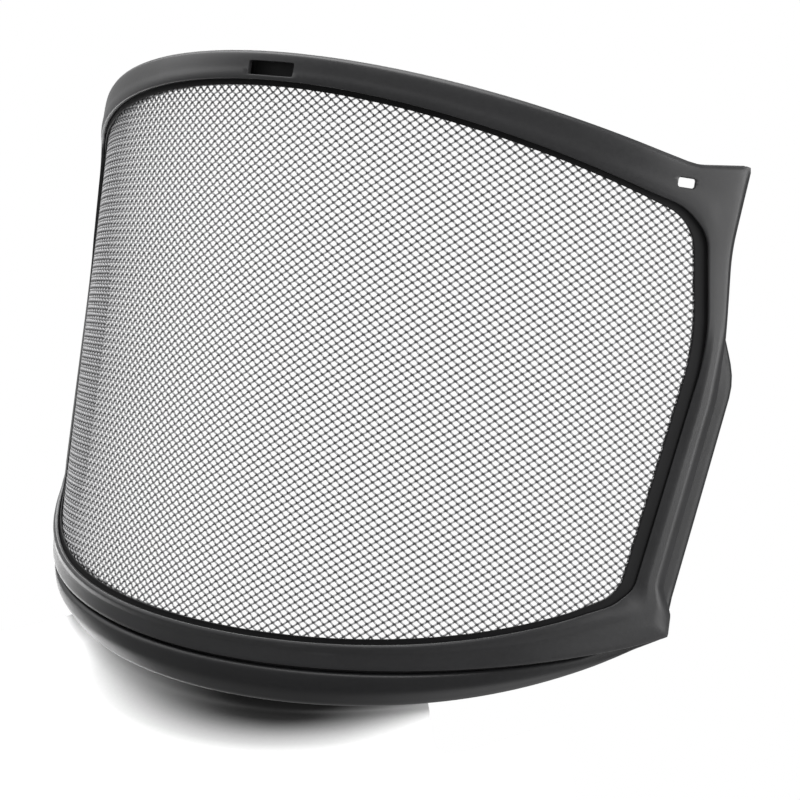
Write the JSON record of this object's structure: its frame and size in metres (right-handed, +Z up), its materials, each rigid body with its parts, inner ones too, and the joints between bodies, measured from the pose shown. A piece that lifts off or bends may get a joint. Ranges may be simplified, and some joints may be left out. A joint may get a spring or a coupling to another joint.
{
  "type": "mesh face shield",
  "caption": "Curved woven-wire face screen clamped in a black moulded two-part frame, with a brow slot and two ear slots for a helmet carrier.",
  "frame": {"origin": "middle of the flat seat on the back of the brow, where the helmet's carrier bears", "axes": "+X to the right as seen from the front, +Y from the screen towards the wearer's face, +Z up"},
  "size_m": [0.241, 0.0683, 0.1772],
  "materials": {
    "bezel_black": "satin, as moulded, fine texture",
    "frame_black": "satin, as moulded",
    "strip_black": "dull, as extruded",
    "wire_dark": "dark coated wire, half gloss",
    "pin_black": "satin, as moulded"
  },
  "bodies": {
    "root": {"front_bezel": "bezel_black", "back_frame": "frame_black", "edge_strip": "strip_black", "wire_screen": "wire_dark", "clamp_pin_01": "pin_black", "clamp_pin_02": "pin_black", "clamp_pin_03": "pin_black", "clamp_pin_04": "pin_black", "clamp_pin_05": "pin_black", "clamp_pin_06": "pin_black", "clamp_pin_07": "pin_black", "clamp_pin_08": "pin_black", "clamp_pin_09": "pin_black", "clamp_pin_10": "pin_black", "clamp_pin_11": "pin_black", "clamp_pin_12": "pin_black", "clamp_pin_13": "pin_black", "clamp_pin_14": "pin_black", "clamp_pin_15": "pin_black", "clamp_pin_16": "pin_black"}
  },
  "joints": []
}
